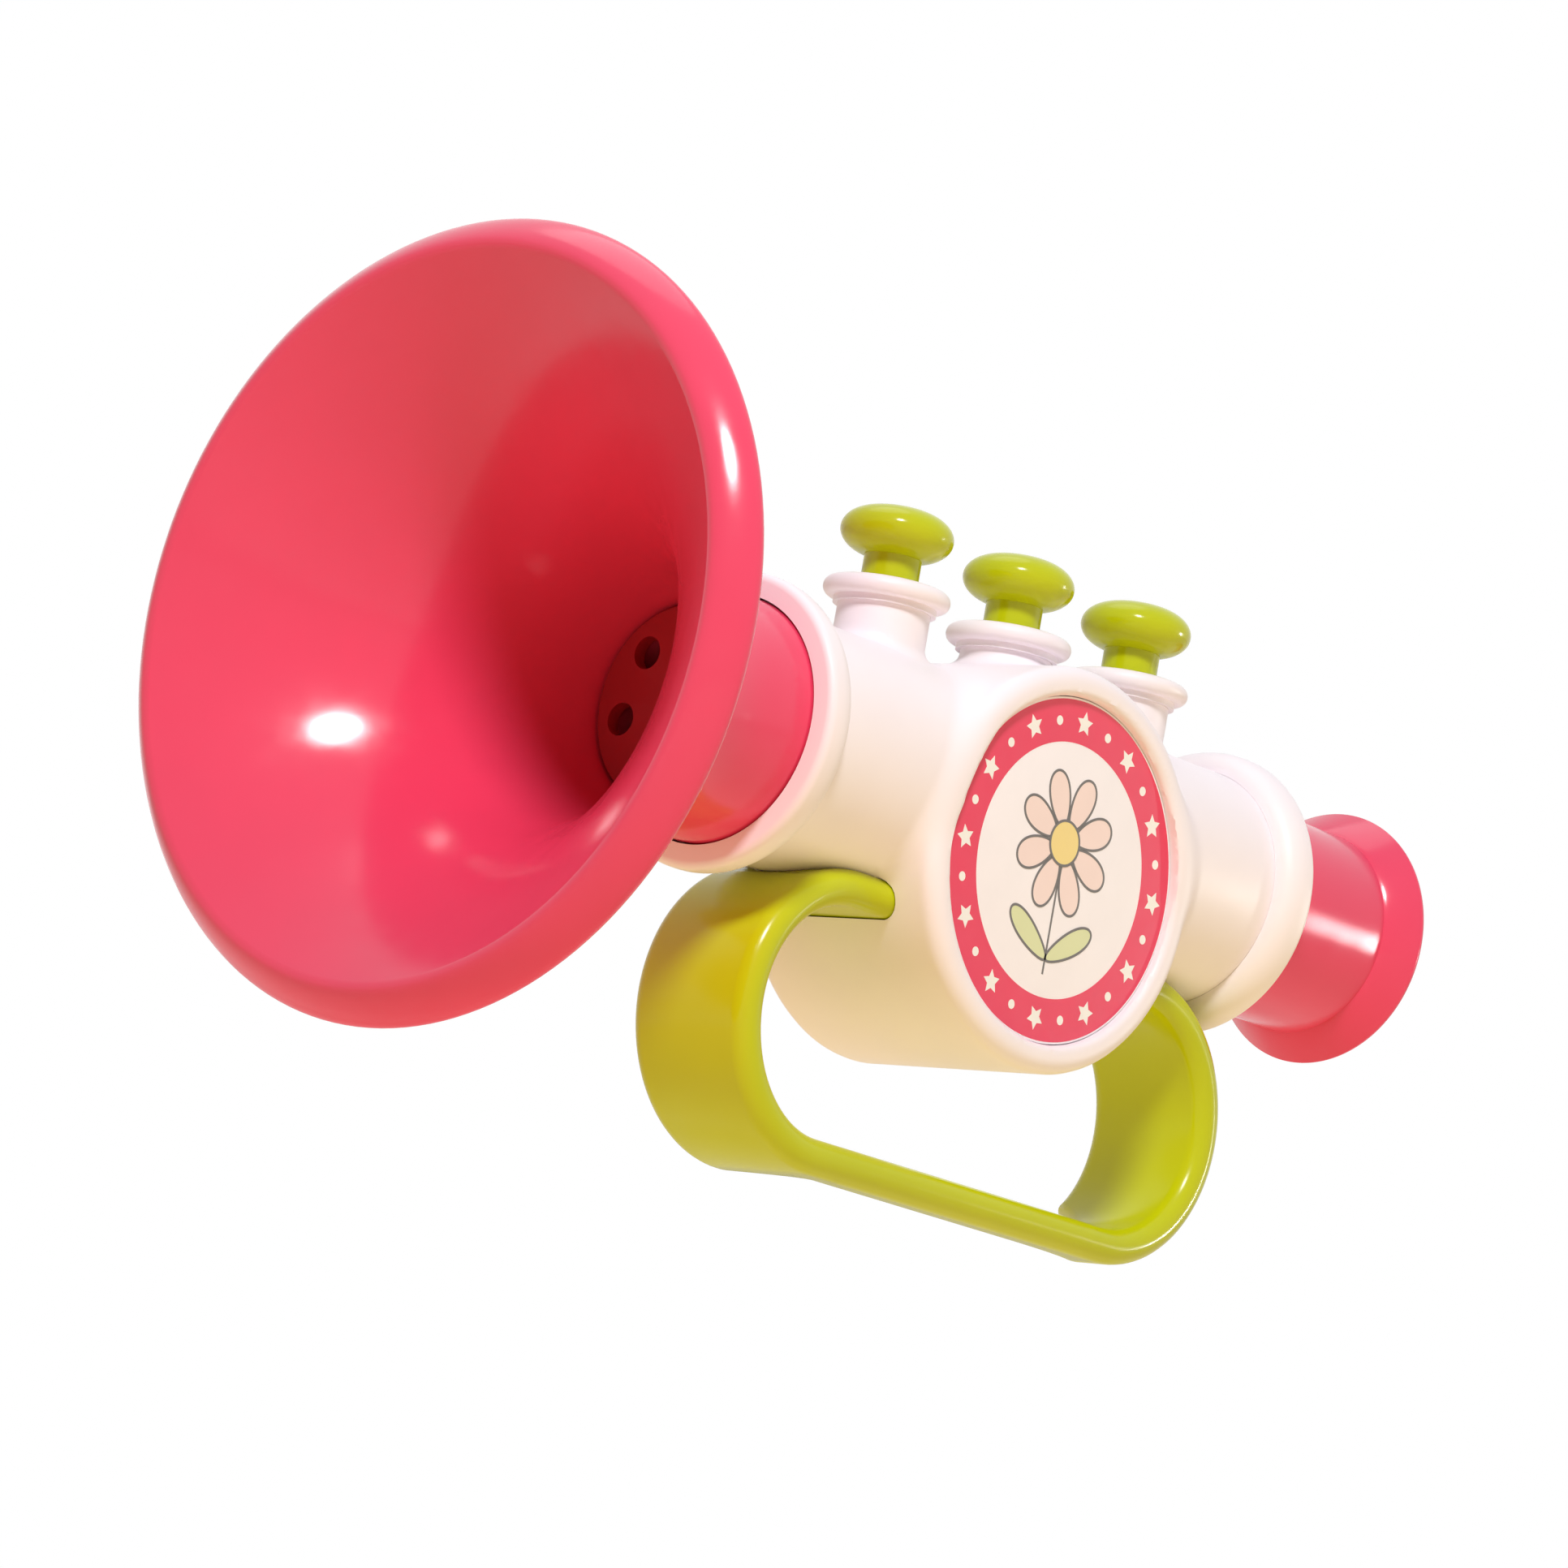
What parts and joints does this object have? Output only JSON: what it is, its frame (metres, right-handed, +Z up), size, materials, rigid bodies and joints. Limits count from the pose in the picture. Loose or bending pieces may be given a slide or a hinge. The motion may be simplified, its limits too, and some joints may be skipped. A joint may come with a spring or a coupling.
{
  "type": "toy trumpet",
  "caption": "Toy trumpet with a flared bell, sprung valve buttons over an air chest with reeds, a drum body with a round label, a mouthpiece and a loop grip.",
  "frame": {"origin": "on the level the loop grip stands on, under the middle of the length and width", "axes": "+X from the bell to the mouthpiece, +Z up through the buttons, the label faces -Y"},
  "size_m": [0.163, 0.0898, 0.0924],
  "materials": {
    "red_plastic": "gloss moulded",
    "cream_plastic": "gloss moulded, pinkish white",
    "green_plastic": "gloss moulded",
    "label": "printed film",
    "black_rubber": "soft matt",
    "reed_brass": "rolled strip",
    "screw_steel": "bright zinc"
  },
  "bodies": {
    "trumpet": {"bell": "red_plastic", "bell_grille": "red_plastic", "mouthpiece": "red_plastic", "bell_collar": "cream_plastic", "body_shell": "cream_plastic", "front_cover": "cream_plastic", "rear_cover": "cream_plastic", "valve_cap_1": "cream_plastic", "valve_cap_2": "cream_plastic", "valve_cap_3": "cream_plastic", "air_chest": "cream_plastic", "reed_deck": "cream_plastic", "mouthpiece_collar": "cream_plastic", "wind_inlet": "cream_plastic", "handle": "green_plastic", "front_label": "label", "chest_gasket": "black_rubber", "reed_1": "reed_brass", "reed_2": "reed_brass", "reed_3": "reed_brass", "open_reed": "reed_brass", "cover_screw_1": "screw_steel", "cover_screw_2": "screw_steel", "cover_screw_3": "screw_steel", "cover_screw_4": "screw_steel", "deck_screw_1": "screw_steel", "deck_screw_2": "screw_steel", "deck_screw_3": "screw_steel", "deck_screw_4": "screw_steel", "reed_screw_1": "screw_steel", "reed_screw_2": "screw_steel", "reed_screw_3": "screw_steel", "reed_screw_4": "screw_steel", "button_spring_1": "screw_steel", "button_spring_2": "screw_steel", "button_spring_3": "screw_steel", "handle_pin_front": "screw_steel", "handle_pin_rear": "screw_steel"},
    "button_1": {"button_1": "green_plastic", "valve_pad_1": "black_rubber", "pad_screw_1": "screw_steel"},
    "button_2": {"button_2": "green_plastic", "valve_pad_2": "black_rubber", "pad_screw_2": "screw_steel"},
    "button_3": {"button_3": "green_plastic", "valve_pad_3": "black_rubber", "pad_screw_3": "screw_steel"}
  },
  "joints": [
    {"name": "press_1", "type": "slide", "parent": "trumpet", "child": "button_1", "axis": [0, 0, -1], "range_m": [0, 0.0028], "stiffness_N_per_m": 300, "springref_m": -0.0006, "deforming": ["button_spring_1"]},
    {"name": "press_2", "type": "slide", "parent": "trumpet", "child": "button_2", "axis": [0, 0, -1], "range_m": [0, 0.0028], "stiffness_N_per_m": 300, "springref_m": -0.0006, "deforming": ["button_spring_2"]},
    {"name": "press_3", "type": "slide", "parent": "trumpet", "child": "button_3", "axis": [0, 0, -1], "range_m": [0, 0.0028], "stiffness_N_per_m": 300, "springref_m": -0.0006, "deforming": ["button_spring_3"]}
  ]
}
